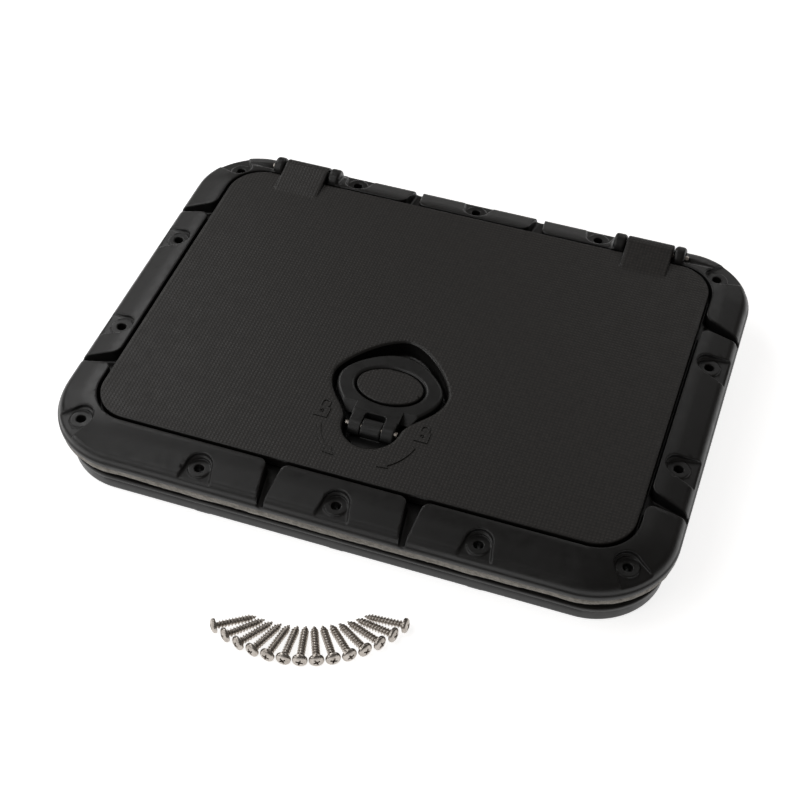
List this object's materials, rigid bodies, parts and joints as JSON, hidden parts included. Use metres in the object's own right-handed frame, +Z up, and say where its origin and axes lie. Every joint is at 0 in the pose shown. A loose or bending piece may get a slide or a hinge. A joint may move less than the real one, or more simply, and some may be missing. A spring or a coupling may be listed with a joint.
{
  "type": "deck hatch",
  "caption": "Rectangular deck hatch: flanged frame with foam gasket and backing ring, hinged textured lid with flush ring handle and turning latch, and its loose mounting screws.",
  "frame": {"origin": "on the floor that the hatch and its loose screws stand on, under the middle of everything, screws included", "axes": "+X along the hatch's long side, +Y from the latch side to the hinge side, +Z up out of the deck"},
  "size_m": [0.4056, 0.3886, 0.0521],
  "materials": {
    "frame_plastic": "black moulded plastic, smooth satin",
    "lid_plastic": "black moulded plastic with a fine woven texture on top",
    "latch_plastic": "black moulded plastic, satin",
    "foam": "light grey closed-cell foam",
    "rubber": "black rubber",
    "steel": "stainless steel, bright"
  },
  "bodies": {
    "hatch_frame": {"frame": "frame_plastic", "frame_gasket": "foam", "backing_ring": "frame_plastic", "hinge_pin_left": "steel", "hinge_pin_right": "steel", "mounting_screw_01": "steel", "mounting_screw_02": "steel", "mounting_screw_03": "steel", "mounting_screw_04": "steel", "mounting_screw_05": "steel", "mounting_screw_06": "steel", "mounting_screw_07": "steel", "mounting_screw_08": "steel", "mounting_screw_09": "steel", "mounting_screw_10": "steel", "mounting_screw_11": "steel", "mounting_screw_12": "steel", "mounting_screw_13": "steel", "mounting_screw_14": "steel"},
    "lid": {"lid_panel": "lid_plastic", "lid_seal": "rubber", "handle_pin": "steel", "latch_post": "latch_plastic"},
    "handle": {"handle_ring": "latch_plastic"},
    "latch": {"latch_spindle": "latch_plastic", "spindle_seal": "rubber", "thrust_washer": "latch_plastic", "latch_bar": "latch_plastic", "bar_washer": "steel", "bar_screw": "steel"}
  },
  "joints": [
    {"name": "lid_hinge", "type": "hinge", "parent": "hatch_frame", "child": "lid", "pos_m": [0, 0.17901, 0.0445], "axis": [-1, 0, 0], "range_deg": [0, 120]},
    {"name": "handle_lift", "type": "hinge", "parent": "lid", "child": "handle", "pos_m": [0, -0.03749, 0.0425], "axis": [1, 0, 0], "range_deg": [0, 95]},
    {"name": "latch_turn", "type": "hinge", "parent": "lid", "child": "latch", "pos_m": [0, -0.03749, 0.0254], "axis": [0, 0, 1], "range_deg": [-90, 90]}
  ]
}
